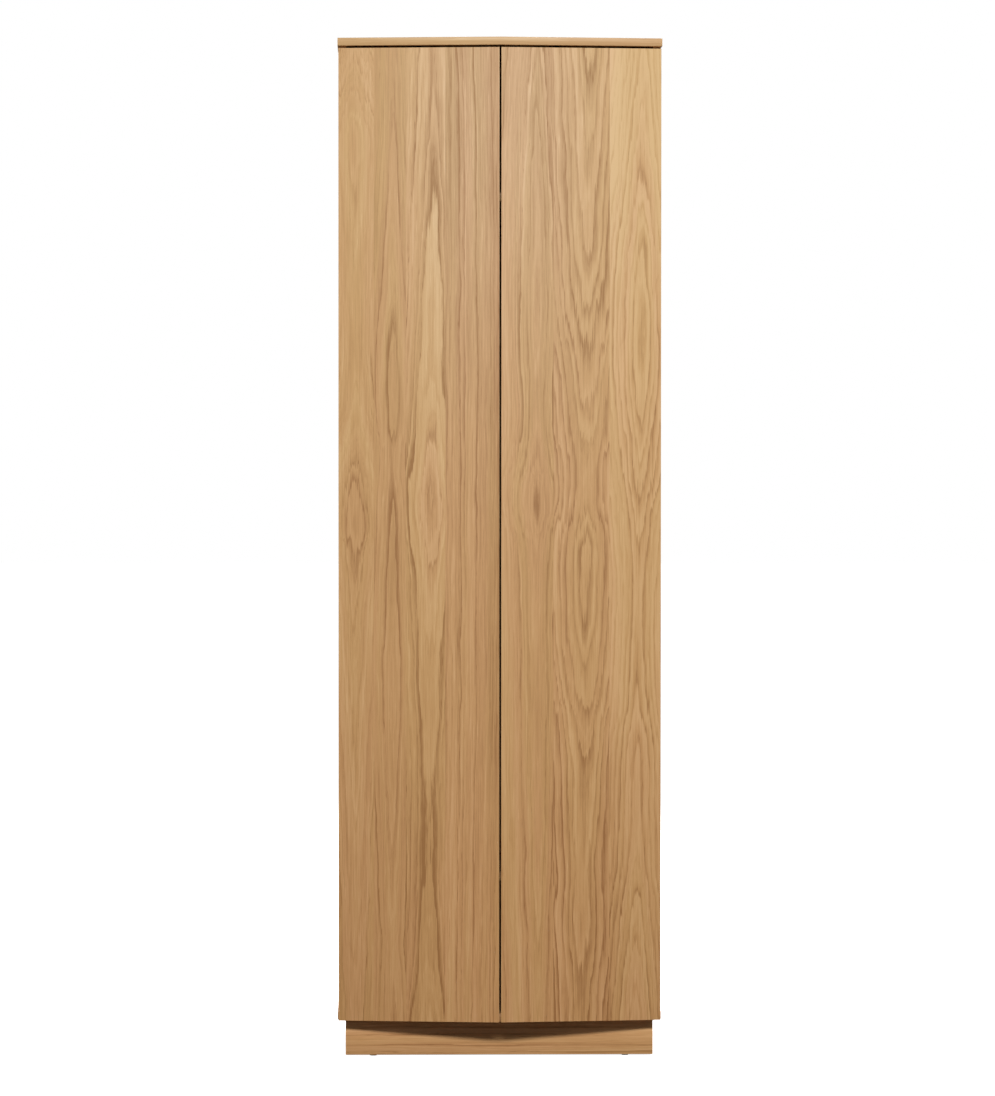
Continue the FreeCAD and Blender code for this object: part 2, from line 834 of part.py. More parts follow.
for side, hand in SIDES:
    for number in range(HINGES_PER_DOOR):
        add_cup(side, hand, number)
        add_arm(side, hand, number)
        add_plate(side, hand, number)


def add_inner_links(side, hand):
    """Each link has a round eye and a pin at A and at B, and is waisted between them."""
    body = new_body(f"{side}_inner_links", **door_frame(hand, "first_hinge"))
    run = "(pivot_a_across - pivot_b_across)"
    fall = "(pivot_b_deep - pivot_a_deep)"
    length = f"(({run} * {run} + {fall} * {fall}) ^ 0.5)"

    def spot(share, out):
        """A point at a share of the way from B to A, and out to one side."""
        x = f"pivot_b_across + {share} * {run} - ({out}) * {fall} / {length}"
        y = f"{share} * {fall} + ({out}) * {run} / {length} - pivot_b_deep"
        return (handed(hand, x), y)

    waist = new_sketch(body)
    add_outline(waist, [
        spot("0", "-link_eye"),
        spot("1 / 2", "-link_bar / 2"),
        spot("1", "-link_eye"),
        spot("1", "link_eye"),
        spot("1 / 2", "link_bar / 2"),
        spot("0", "link_eye"),
    ])
    add_pad(body, waist, "link_width", both=True)
    for x, y in (("pivot_a_across", "-pivot_a_deep"), ("pivot_b_across", "-pivot_b_deep")):
        eye = new_sketch(body)
        add_circle(eye, handed(hand, x), y, "link_eye")
        add_pad(body, eye, "link_width", both=True)
        pin = new_sketch(body)
        add_flats(pin, handed(hand, x), y, "link_pin")
        add_pad(body, pin, "2 * cheek_out", both=True)
    repeat_all(body, "Z_Axis", f"{HINGES_PER_DOOR - 1} * hinge_pitch", HINGES_PER_DOOR)


def add_outer_links(side, hand):
    """Each link is two cheeks joined by the pin C; a crook carries it over the cup's rim."""
    body = new_body(f"{side}_outer_links", **door_frame(hand, "first_hinge"))
    run = "(pivot_c_across - pivot_d_across)"
    rise = "(pivot_c_behind + pivot_d_deep)"
    length = f"(({run} * {run} + {rise} * {rise}) ^ 0.5)"

    def spot(distance, out):
        """A point a distance along the link from D, and out to its crooked side."""
        x = f"pivot_d_across + ({distance}) * {run} / {length} + ({out}) * {rise} / {length}"
        y = f"({distance}) * {rise} / {length} - ({out}) * {run} / {length} - pivot_d_deep"
        return (handed(hand, x), y)

    half = "link_bar / 2"
    cheeks = new_sketch(body, offset="outer_in")
    add_outline(cheeks, [
        spot(f"-{half}", f"-{half}"),
        spot("crook_near", f"crook_out - {half}"),
        spot("crook_far", f"-{half}"),
        spot(length, "-link_eye"),
        spot(length, "link_eye"),
        spot(f"crook_far + {half}", half),
        spot("crook_near", f"crook_out + {half}"),
        spot(f"-{half}", half),
    ])
    add_pad(body, cheeks, "cheek")
    eye = new_sketch(body, offset="outer_in")
    add_circle(eye, handed(hand, "pivot_c_across"), "pivot_c_behind", "link_eye")
    add_pad(body, eye, "cheek")
    mirror_all(body, "XY_Plane")
    pin = new_sketch(body)
    add_flats(pin, handed(hand, "pivot_c_across"), "pivot_c_behind", "link_pin")
    add_pad(body, pin, "2 * outer_out", both=True)
    repeat_all(body, "Z_Axis", f"{HINGES_PER_DOOR - 1} * hinge_pitch", HINGES_PER_DOOR)


for side, hand in SIDES:
    add_inner_links(side, hand)
    add_outer_links(side, hand)

# Push latches: a housing under the top board, a plunger in it and a strike plate on the door


def add_latch(side, hand):
    housing = new_body(f"{side}_latch_housing", **door_frame(hand, "latch_height"))
    middle = handed(hand, "latch_place")
    block = new_sketch(housing, "XZ_Plane", "-door_gap - latch_length")
    add_box(
        block,
        handed(hand, "latch_place - latch_width / 2"),
        handed(hand, "latch_place + latch_width / 2"),
        "-latch_below",
        "latch_drop",
    )
    add_pad(housing, block, "latch_length")
    bore = new_sketch(housing, "XZ_Plane", "-door_gap")
    add_flats(bore, middle, "0", "plunger_radius + plunger_play", FLATS_PER_ROD)
    add_pocket(housing, bore, "latch_length - latch_wall")
    plunger = new_body(f"{side}_plunger", **door_frame(hand, "latch_height"))
    rod = new_sketch(plunger, "XZ_Plane", "-strike - strike_gap - plunger_length")
    add_flats(rod, middle, "0", "plunger_radius", FLATS_PER_ROD)
    add_pad(plunger, rod, "plunger_length")
    strike = new_body(f"{side}_strike_plate", **door_frame(hand, "latch_height"))
    plate = new_sketch(strike, "XZ_Plane")
    add_box(
        plate,
        handed(hand, "latch_place - strike_width / 2"),
        handed(hand, "latch_place + strike_width / 2"),
        "-strike_height / 2",
        "strike_height / 2",
    )
    add_pad(strike, plate, "strike", back=True)


for side, hand in SIDES:
    add_latch(side, hand)

# Checks, then one file for each sub-part

doc.recompute()
for item in doc.Objects:
    if "Invalid" in item.State or "Error" in item.State:
        raise RuntimeError(f"{item.Label} failed: {item.State}")
for piece in parts:
    if piece.Shape.isNull() or not piece.Shape.isValid():
        raise RuntimeError(f"{piece.Label} has no valid shape")

os.makedirs("parts", exist_ok=True)
for piece in parts:
    piece.Shape.exportStep(f"parts/{piece.Label}.step")
    solids = len(piece.Shape.Solids)
    print(f"{piece.Label}: {solids} solid(s), {piece.Shape.Volume:.0f} cubic mm")
print(f"{len(parts)} sub-parts")
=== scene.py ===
import math

import bpy
from mathutils import Matrix, Vector


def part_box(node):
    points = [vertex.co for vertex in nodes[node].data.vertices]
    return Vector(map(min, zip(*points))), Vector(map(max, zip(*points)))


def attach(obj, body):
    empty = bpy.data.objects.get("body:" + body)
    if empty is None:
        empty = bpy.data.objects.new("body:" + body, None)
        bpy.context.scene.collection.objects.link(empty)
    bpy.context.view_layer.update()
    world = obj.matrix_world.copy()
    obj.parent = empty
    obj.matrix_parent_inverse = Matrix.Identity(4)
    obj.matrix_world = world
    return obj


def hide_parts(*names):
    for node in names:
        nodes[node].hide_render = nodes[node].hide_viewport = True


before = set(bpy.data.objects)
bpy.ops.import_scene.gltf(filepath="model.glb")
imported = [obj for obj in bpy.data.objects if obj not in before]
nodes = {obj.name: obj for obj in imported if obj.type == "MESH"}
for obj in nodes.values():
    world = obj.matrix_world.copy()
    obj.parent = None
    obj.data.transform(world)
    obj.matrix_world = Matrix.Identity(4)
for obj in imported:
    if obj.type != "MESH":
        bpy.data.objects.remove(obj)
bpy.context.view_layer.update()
print("frame loaded:", len(nodes), "nodes")

camera = {
    "place": (-0.2734, -11.65211, 1.36946),
    "yaw": -0.02354,
    "pitch": -0.02348,
    "roll": 0.00041,
    "lens": 173.581,
    "sensor": 36,
    "clipEnd": 100,
}


def setCamera():
    yaw, pitch, roll = camera["yaw"], camera["pitch"], camera["roll"]
    level = math.cos(pitch)
    ahead = Vector((-math.sin(yaw) * level, math.cos(yaw) * level, math.sin(pitch)))
    side = ahead.cross(Vector((0, 0, 1))).normalized()
    up = side.cross(ahead)
    right = side * math.cos(roll) + up * math.sin(roll)
    top = right.cross(ahead)
    bpy.ops.object.camera_add(location=camera["place"])
    eye = bpy.context.object
    eye.name = "photoCamera"
    eye.rotation_euler = Matrix((right, top, -ahead)).transposed().to_euler()
    eye.data.lens = camera["lens"]
    eye.data.sensor_width = camera["sensor"]
    eye.data.clip_end = camera["clipEnd"]
    bpy.context.scene.camera = eye


setCamera()


# Helpers for the shader trees

def add(tree, kind, **settings):
    item = tree.nodes.new("ShaderNode" + kind)
    for key, value in settings.items():
        setattr(item, key, value)
    return item


def feed(tree, source, socket):
    if isinstance(source, bpy.types.NodeSocket):
        tree.links.new(source, socket)
    else:
        socket.default_value = source


def calc(tree, operation, first, second=None, third=None):
    item = add(tree, "Math", operation=operation)
    for place, source in enumerate((first, second, third)):
        if source is not None:
            feed(tree, source, item.inputs[place])
    return item.outputs[0]


def moved(tree, source, amount, onto):
    # a noise of 0 to 1 moves a value both ways
    return calc(tree, "MULTIPLY_ADD", calc(tree, "SUBTRACT", source, 0.5), amount, onto)


def ramp(tree, source, low, high, lowOut=0.0, highOut=1.0, smooth=True):
    item = add(tree, "MapRange")
    item.interpolation_type = "SMOOTHSTEP" if smooth else "LINEAR"
    feed(tree, source, item.inputs["Value"])
    limits = {"From Min": low, "From Max": high, "To Min": lowOut, "To Max": highOut}
    for key, value in limits.items():
        feed(tree, value, item.inputs[key])
    return item.outputs["Result"]


def blendColour(tree, factor, first, second, mode="MIX"):
    item = add(tree, "Mix", data_type="RGBA", blend_type=mode)
    feed(tree, factor, item.inputs[0])
    feed(tree, first, item.inputs[6])
    feed(tree, second, item.inputs[7])
    return item.outputs[2]


def stepTo(tree, past, before, after):
    item = add(tree, "Mix", data_type="FLOAT")
    feed(tree, past, item.inputs[0])
    feed(tree, before, item.inputs[2])
    feed(tree, after, item.inputs[3])
    return item.outputs[0]


def newGroup(name, inputs, outputs):
    group = bpy.data.node_groups.new(name, "ShaderNodeTree")
    for key, kind, value in inputs:
        socket = group.interface.new_socket(name=key, in_out="INPUT", socket_type="NodeSocket" + kind)
        if value is not None:
            socket.default_value = value
    for key, kind in outputs:
        group.interface.new_socket(name=key, in_out="OUTPUT", socket_type="NodeSocket" + kind)
    source = group.nodes.new("NodeGroupInput")
    target = group.nodes.new("NodeGroupOutput")
    return group, source.outputs, target.inputs


def useGroup(tree, group, **values):
    item = tree.nodes.new("ShaderNodeGroup")
    item.node_tree = group
    for key, value in values.items():
        feed(tree, value, item.inputs[key])
    return item.outputs


def newFinish(name):
    finish = bpy.data.materials.new(name)
    finish.use_nodes = True
    return finish, finish.node_tree, finish.node_tree.nodes["Principled BSDF"]


def addBump(tree, shader, relief, strength, distance):
    bump = add(tree, "Bump")
    bump.inputs["Strength"].default_value = strength
    bump.inputs["Distance"].default_value = distance
    feed(tree, relief, bump.inputs["Height"])
    feed(tree, bump.outputs["Normal"], shader.inputs["Normal"])


# Studio: soft lights, a white sky and a pale floor

lights = {
    "keyLight": {"place": (0.25, -9.0, 5.75), "size": (3.2, 1.0), "power": 718},
    "fillLight": {"place": (1.8, -6.0, 3.6), "size": (1.6, 1.6), "power": 34},
    "rightLight": {"place": (5.0, 1.2, 3.2), "size": (2.5, 2.5), "power": 160},
    "leftLight": {"place": (-5.0, 1.2, 3.2), "size": (2.5, 2.5), "power": 160},
    "backLight": {"place": (0.5, 6.0, 3.6), "size": (3.0, 3.0), "power": 260},
}
studio = {
    "lightTarget": (0, -0.1, 1.1),
    "skySeen": 1.0,
    "skyMirror": 0.75,
    "skyLight": 0.08,
    "floorSize": 80,
    "floorTone": (0.88, 0.88, 0.88, 1.0),
    "floorBounce": (0.08, 0.07, 0.06, 1.0),
    "floorGlow": (0.80, 1.0),  # under the wardrobe and far from it
    "floorFade": (0.6, 4.0),
    "floorRoughness": 0.9,
    "floorSpecular": 0.1,
}
white = (1, 1, 1, 1)


def addLights():
    target = Vector(studio["lightTarget"])
    for name, recipe in lights.items():
        bpy.ops.object.light_add(type="AREA", location=recipe["place"])
        lamp = bpy.context.object
        lamp.name = name
        lamp.data.shape = "RECTANGLE"
        lamp.data.size, lamp.data.size_y = recipe["size"]
        lamp.data.energy = recipe["power"]
        aim = target - Vector(recipe["place"])
        lamp.rotation_euler = aim.to_track_quat("-Z", "Y").to_euler()


def setSky():
    world = bpy.data.worlds.new("studioWorld")
    bpy.context.scene.world = world
    world.use_nodes = True
    tree = world.node_tree
    tree.nodes.clear()
    path = add(tree, "LightPath").outputs
    mirrored = ramp(tree, path["Is Glossy Ray"], 0, 1, studio["skyLight"], studio["skyMirror"], False)
    glow = add(tree, "Background")
    glow.inputs["Color"].default_value = white
    strength = ramp(tree, path["Is Camera Ray"], 0, 1, mirrored, studio["skySeen"], False)
    feed(tree, strength, glow.inputs["Strength"])
    feed(tree, glow.outputs["Background"], add(tree, "OutputWorld").inputs["Surface"])
    bpy.context.scene.view_settings.view_transform = "Standard"


def layFloor():
    bpy.ops.mesh.primitive_plane_add(size=studio["floorSize"], location=(0, 0, 0))
    floor = bpy.context.object
    floor.name = "floor"
    paint, tree, shader = newFinish("floorPaint")
    shader.inputs["Roughness"].default_value = studio["floorRoughness"]
    shader.inputs["Specular IOR Level"].default_value = studio["floorSpecular"]
    shader.inputs["Emission Color"].default_value = white
    seen = add(tree, "LightPath").outputs["Is Camera Ray"]
    colour = blendColour(tree, seen, studio["floorBounce"], studio["floorTone"])
    reach = add(tree, "VectorMath", operation="LENGTH")
    feed(tree, add(tree, "TexCoord").outputs["Object"], reach.inputs[0])
    fade = ramp(tree, reach.outputs["Value"], *studio["floorFade"], *studio["floorGlow"], False)
    feed(tree, colour, shader.inputs["Base Color"])
    feed(tree, calc(tree, "MULTIPLY", seen, fade), shader.inputs["Emission Strength"])
    floor.data.materials.append(paint)


addLights()
setSky()
layFloor()
print("camera and studio set")


# Oak: the lie of the fibres, the growth rings of one veneer leaf, and the look of the cut wood.
# A noise is given by its seed offset, its cells a metre across and along the grain (across the
# rings for some), its detail and its roughness.

fibres = {
    "slow": (0.0, 5.0, 1.3, 1.0, 0.5),
    "fine": (7.3, 26.0, 8.5, 2.0, 0.5),
    "teeth": (3.1, 240.0, 3.5, 2.0, 0.65),
    "bend": (5.7, 36.0, 6.0, 2.0, 0.5),
    "wander": 0.012,  # metres that a ring wanders sideways
    "ripple": 0.010,
    "jag": 0.08,  # metres that an arch is torn up and down
}


def grainNoise(tree, recipe, seed, across, along):
    offset, acrossScale, alongScale, detail, roughness = recipe
    spread = add(tree, "CombineXYZ")
    feed(tree, calc(tree, "MULTIPLY", across, acrossScale), spread.inputs[0])
    feed(tree, calc(tree, "ADD", seed, offset), spread.inputs[1])
    feed(tree, calc(tree, "MULTIPLY", along, alongScale), spread.inputs[2])
    item = add(tree, "TexNoise")
    item.inputs["Scale"].default_value = 1.0
    item.inputs["Detail"].default_value = detail
    item.inputs["Roughness"].default_value = roughness
    feed(tree, spread.outputs[0], item.inputs["Vector"])
    return item.outputs["Fac"]


def makeFibreFlow():
    tree, given, result = newGroup(
        "fibreFlow",
        [("across", "Float", 0.0), ("along", "Float", 0.0), ("seed", "Float", 0.0),
         ("wander", "Float", fibres["wander"]), ("jag", "Float", fibres["jag"])],
        [("across", "Float"), ("along", "Float")])
    across, along = given["across"], given["along"]

    def grain(key):
        noise = grainNoise(tree, fibres[key], given["seed"], across, along)
        return calc(tree, "SUBTRACT", noise, 0.5)

    shift = calc(tree, "MULTIPLY", grain("slow"), given["wander"])
    ripple = calc(tree, "MULTIPLY", grain("fine"), fibres["ripple"])
    feed(tree, calc(tree, "ADD", across, calc(tree, "ADD", shift, ripple)), result["across"])
    push = calc(tree, "ADD", grain("teeth"), grain("bend"))
    feed(tree, calc(tree, "MULTIPLY_ADD", push, given["jag"], along), result["along"])
    return tree


def makeLeafRings():
    tree, given, result = newGroup(
        "leafRings",
        [("across", "Float", 0.0), ("along", "Float", 0.0), ("rise", "Float", 0.0),
         ("centre", "Float", 0.0), ("tilt", "Float", 0.0), ("heart", "Float", 0.02),
         ("ring", "Float", 0.009)],
        [("rings", "Float")])
    middle = calc(tree, "MULTIPLY_ADD", given["along"], given["tilt"], given["centre"])
    side = calc(tree, "SUBTRACT", given["across"], middle)
    square = calc(tree, "MULTIPLY", side, side)
    reach = calc(tree, "SQRT", calc(tree, "MULTIPLY_ADD", given["heart"], given["heart"], square))
    count = calc(tree, "DIVIDE", reach, given["ring"])
    feed(tree, calc(tree, "ADD", count, given["rise"]), result["rings"])
    return tree


# how far each noise moves the growth rings, in rings
ringBend = {
    "waver": ((11.0, 60.0, 7.0, 2.0, 0.5), 0.9),
    "uneven": ((13.0, 0.6, 1.0, 1.0, 0.5), 1.4),
    "ragged": ((15.0, 560.0, 13.0, 2.0, 0.7), 0.50),
}

# the dark band of a ring: a crisp core at its start and a soft tail, both in shares of the ring
ringBand = {
    "rarity": 2.4,  # the higher it is, the fewer rings stand out
    "figureGain": 0.5,
    "figureBase": -0.32,
    "softRise": (0.0, 0.26),
    "tailStart": 0.18,
    "tailSpread": 0.35,
    "tailEnd": 0.60,
    "coreRise": (0.0, 0.07),
    "coreFall": (0.30, 0.13),
    "core": 0.55,
    "soft": 0.60,
    "patch": (17.0, 28.0, 2.2, 2.0, 0.5),  # where the bands fade
    "patchRange": (0.36, 0.60),
    "patchGain": 0.7,
    "patchBase": -0.4,
    "darkness": 0.80,
}

# noises with the darkness they add, and thresholds of the pores, rays and tints
woodTone = {
    "wide": ((19.0, 0.45, 0.5, 2.0, 0.5), 0.7),
    "narrow": ((21.0, 3.2, 3.0, 3.0, 0.6), 0.75),
    "fibre": ((23.0, 360.0, 7.0, 3.0, 0.6), 0.95),
    "broad": ((29.0, 14.0, 0.6, 1.0, 0.5), 0.5),
    "cell": ((31.0, 620.0, 38.0, 1.0, 0.5), (0.58, 0.74)),
    "fleck": ((33.0, 1500.0, 95.0, 1.0, 0.5), (0.60, 0.75)),
    "ray": ((37.0, 400.0, 18.0, 1.0, 0.5), (0.58, 0.78)),
    "blush": ((41.0, 0.3, 1.1, 1.0, 0.5), (0.35, 0.65)),
    "cellInBand": 1.5,
    "cellElsewhere": 0.18,
    "fleckShare": 0.22,
    "poreDarkness": 0.34,
    "rayDarkness": -0.22,
    "footHeights": (2.1, 0.1),  # from none of the foot tint, which is partly painted shade, to all of it
    "footContrast": 0.30,
    "topContrast": 0.90,
    "steps": (-0.35, 0.12, 0.90),  # darkness of the light, middle and dark wood
    "roughness": 0.44,
    "roughnessGain": 0.14,
    "bandRelief": -0.35,
    "poreRelief": -1.0,
}


def makeOakLook():
    colours = ("lightWood", "midWood", "darkWood", "oliveTint", "rosyTint", "footTint")
    tree, given, result = newGroup(
        "oakLook",
        [("rings", "Float", 0.0), ("across", "Float", 0.0), ("along", "Float", 0.0),
         ("height", "Float", 1.0), ("seed", "Float", 0.0), ("figure", "Float", 1.0),
         ("shade", "Float", 0.0)] + [(key, "Color", None) for key in colours],
        [("colour", "Color"), ("roughness", "Float"), ("relief", "Float")])
    figure = given["figure"]

    def grain(recipe, across=given["across"], along=given["along"]):
        return grainNoise(tree, recipe, given["seed"], across, along)

    def bent(key, rings, *where):
        recipe, amount = ringBend[key]
        return moved(tree, grain(recipe, *where), amount, rings)

    def spots(key, *where):
        recipe, limits = woodTone[key]
        return ramp(tree, grain(recipe, *where), *limits)

    # growth rings are uneven in width and strength, and their pores give them a ragged edge
    rings = bent("waver", given["rings"])
    rings = bent("uneven", rings, given["rings"], 0.0)
    torn = bent("ragged", rings)
    part = calc(tree, "FRACT", torn)
    pair = add(tree, "CombineXYZ")
    feed(tree, calc(tree, "FLOOR", torn), pair.inputs[0])
    feed(tree, given["seed"], pair.inputs[1])
    draw = add(tree, "TexWhiteNoise", noise_dimensions="2D")
    feed(tree, pair.outputs[0], draw.inputs["Vector"])
    chance = draw.outputs["Value"]
    bold = calc(tree, "MULTIPLY_ADD", figure, ringBand["figureGain"], ringBand["figureBase"])
    weight = calc(tree, "ADD", calc(tree, "POWER", chance, ringBand["rarity"]), bold)
    tailEnd = calc(tree, "MULTIPLY_ADD", chance, ringBand["tailSpread"], ringBand["tailEnd"])
    tail = calc(tree, "SUBTRACT", 1.0, ramp(tree, part, ringBand["tailStart"], tailEnd))
    soft = calc(tree, "MULTIPLY", ramp(tree, part, *ringBand["softRise"]), tail)
    core = calc(tree, "MULTIPLY", ramp(tree, part, *ringBand["coreRise"]),
                ramp(tree, part, *ringBand["coreFall"]))
    band = calc(tree, "MULTIPLY_ADD", core, ringBand["core"],
                calc(tree, "MULTIPLY", soft, ringBand["soft"]))
    band = calc(tree, "MULTIPLY", band, weight)
    faint = calc(tree, "MULTIPLY_ADD", figure, ringBand["patchGain"], ringBand["patchBase"])
    patch = ramp(tree, grain(ringBand["patch"]), *ringBand["patchRange"], faint)
    line = calc(tree, "MULTIPLY", band, patch)

    # bands of tone that keep to the rings, straight fibres, pores and light rays
    dark = calc(tree, "MULTIPLY", line, calc(tree, "MULTIPLY", figure, ringBand["darkness"]))
    recipe, amount = woodTone["wide"]
    dark = moved(tree, grain(recipe, rings), calc(tree, "MULTIPLY", figure, amount), dark)
    for key, across in (("narrow", torn), ("fibre", given["across"]), ("broad", given["across"])):
        recipe, amount = woodTone[key]
        dark = moved(tree, grain(recipe, across), amount, dark)
    share = calc(tree, "MULTIPLY_ADD", band, woodTone["cellInBand"], woodTone["cellElsewhere"])
    pore = calc(tree, "MULTIPLY", spots("cell"), share)
    pore = calc(tree, "MULTIPLY_ADD", spots("fleck"), woodTone["fleckShare"], pore)
    dark = calc(tree, "MULTIPLY_ADD", pore, woodTone["poreDarkness"], dark)
    dark = calc(tree, "MULTIPLY_ADD", spots("ray"), woodTone["rayDarkness"], dark)

    # the wood is warmer and stronger in contrast towards the floor; the warmth there is partly its
    # own tone and partly painted shade for the light falling off towards the floor
    foot = ramp(tree, given["height"], *woodTone["footHeights"], 0.0, 1.0, False)
    contrast = calc(tree, "MULTIPLY_ADD", foot, woodTone["footContrast"], woodTone["topContrast"])
    dark = calc(tree, "MULTIPLY", dark, contrast)
    dark = calc(tree, "MULTIPLY_ADD", calc(tree, "SUBTRACT", 1.0, foot), given["shade"], dark)
    light, middle, full = woodTone["steps"]
    wood = blendColour(tree, ramp(tree, dark, light, middle, 0.0, 1.0, False),
                       given["lightWood"], given["midWood"])
    wood = blendColour(tree, ramp(tree, dark, middle, full, 0.0, 1.0, False), wood, given["darkWood"])
    wood = blendColour(tree, spots("blush", rings),
                       blendColour(tree, 1.0, wood, given["oliveTint"], "MULTIPLY"),
                       blendColour(tree, 1.0, wood, given["rosyTint"], "MULTIPLY"))
    # painted shade, with some of the wood's own warmth: a tint that lowers green and blue and lifts
    # red towards the floor
    lowToneAndShade = blendColour(tree, foot, white, given["footTint"])
    feed(tree, blendColour(tree, 1.0, wood, lowToneAndShade, "MULTIPLY"), result["colour"])
    gloss = calc(tree, "MULTIPLY_ADD", dark, woodTone["roughnessGain"], woodTone["roughness"])
    feed(tree, gloss, result["roughness"])
    pits = calc(tree, "MULTIPLY", pore, woodTone["poreRelief"])
    feed(tree, calc(tree, "MULTIPLY_ADD", dark, woodTone["bandRelief"], pits), result["relief"])
    return tree


fibreFlow = makeFibreFlow()
leafRings = makeLeafRings()
oakLook = makeOakLook()


def tone(red, green, blue):
    # a colour as it shows on a screen, 0 to 255
    return tuple(((value / 255 + 0.055) / 1.055) ** 2.4 for value in (red, green, blue)) + (1.0,)


oak = {
    "light": tone(222, 186, 139),
    "mid": tone(206, 166, 117),
    "dark": tone(166, 124, 80),
    "olive": (1.0, 1.01, 0.95, 1.0),
    "rosy": (1.01, 0.983, 0.975, 1.0),
    # the foot tint: partly the oak's own warmer tone, partly painted shade for the light falling off
    # towards the floor
    "footTint": (1.08, 0.945, 0.853, 1.0),
    "specular": 0.3,
    "bump": 0.15,
    "bumpDepth": 0.0003,
    "tallest": 2.2,  # metres of leaf that a rise covers
    "mostRings": 20.0,
    "heart": 0.02,
    "ring": 0.009,
    "leafSeedStep": 3.7,
    "cutSeed": 8.8,
    "cutSeedStep": 3.1,
    "cutFigure": 0.8,
}


def riseCurve(tree, along, points):
    tallest, most = oak["tallest"], oak["mostRings"]
    item = add(tree, "FloatCurve")
    curve = item.mapping.curves[0]
    pairs = [(height / tallest, rise / most) for height, rise in points]
    curve.points[0].location = pairs[0]
    curve.points[1].location = pairs[-1]
    for pair in pairs[1:-1]:
        curve.points.new(*pair)
    item.mapping.update()
    feed(tree, calc(tree, "DIVIDE", along, tallest), item.inputs["Value"])
    return calc(tree, "MULTIPLY", item.outputs[0], most)


def oakMaterial(name, leaves, grain="z", across="x", seed=0.0, figure=1.0):
    finish, tree, shader = newFinish(name)
    parts = add(tree, "SeparateXYZ")
    feed(tree, add(tree, "TexCoord").outputs["Object"], parts.inputs[0])
    lengthways = parts.outputs["xyz".index(grain)]
    sideways = parts.outputs["xyz".index(across)]
    flow = useGroup(tree, fibreFlow, across=sideways, along=lengthways, seed=seed)
    rings, number, strength, shade = None, 0.0, 1.0, 0.0
    for leaf in leaves:
        rise = riseCurve(tree, flow["along"], leaf["rise"]) if "rise" in leaf else 0.0
        found = useGroup(tree, leafRings, across=flow["across"], along=flow["along"], rise=rise,
                         centre=leaf["centre"], tilt=leaf.get("tilt", 0.0),
                         heart=leaf.get("heart", oak["heart"]),
                         ring=leaf.get("ring", oak["ring"]))["rings"]
        bold, darker = leaf.get("bold", 1.0), leaf.get("darker", 0.0)
        if rings is None:
            rings, strength, shade = found, bold, darker
            continue
        past = calc(tree, "GREATER_THAN", sideways, leaf["from"])
        rings = stepTo(tree, past, rings, found)
        strength = stepTo(tree, past, strength, bold)
        shade = stepTo(tree, past, shade, darker)
        number = calc(tree, "ADD", number, past)
    look = useGroup(tree, oakLook, rings=rings, across=sideways, along=lengthways,
                    height=parts.outputs[2], shade=shade,
                    seed=calc(tree, "MULTIPLY_ADD", number, oak["leafSeedStep"], seed),
                    figure=calc(tree, "MULTIPLY", strength, figure),
                    lightWood=oak["light"], midWood=oak["mid"], darkWood=oak["dark"],
                    oliveTint=oak["olive"], rosyTint=oak["rosy"], footTint=oak["footTint"])
    feed(tree, look["colour"], shader.inputs["Base Color"])
    feed(tree, look["roughness"], shader.inputs["Roughness"])
    shader.inputs["Specular IOR Level"].default_value = oak["specular"]
    addBump(tree, shader, look["relief"], oak["bump"], oak["bumpDepth"])
    return finish


# Veneer leaves. A leaf starts at "from" and its rings lie about "centre". Its rise gives heights
# in metres and the ring count there: one that grows upwards draws arches, one that falls draws Vs.
leftLeaves = [
    {"centre": -0.313, "heart": 0.008, "ring": 0.0095,
     "rise": [(0.0, 10.5), (0.3, 9.0), (0.7, 7.0), (1.0, 5.0), (1.104, 4.0), (1.147, 3.2),
              (1.222, 4.0), (1.438, 8.0), (1.56, 8.7), (1.719, 8.0), (1.891, 7.0), (1.97, 6.6),
              (2.04, 8.0), (2.2, 13.0)]},
    {"from": -0.272, "centre": -0.231, "heart": 0.007, "ring": 0.0085, "darker": 0.25,
     "rise": [(0.0, 5.0), (0.209, 6.0), (0.25, 6.2), (0.295, 6.0), (0.506, 5.0), (0.77, 4.0),
              (0.834, 3.7), (0.9, 4.0), (1.158, 5.0), (1.309, 5.8), (1.352, 5.0), (1.438, 4.5),
              (1.643, 6.0), (1.956, 8.0), (2.2, 9.0)]},
    {"from": -0.203, "centre": -0.155, "heart": 0.016, "ring": 0.012, "tilt": 0.006, "bold": 1.2,
     "rise": [(0.0, 3.0), (0.254, 5.0), (0.42, 5.7), (0.8, 5.0), (1.05, 4.0), (1.136, 3.4),
              (1.2, 3.0), (1.266, 3.4), (1.43, 4.4), (1.7, 5.2), (1.891, 6.0), (2.2, 7.0)]},
    {"from": -0.118, "centre": 0.12, "darker": 0.36,
     "rise": [(0.0, 0.0), (1.1, 1.2), (2.2, 0.4)]},
]
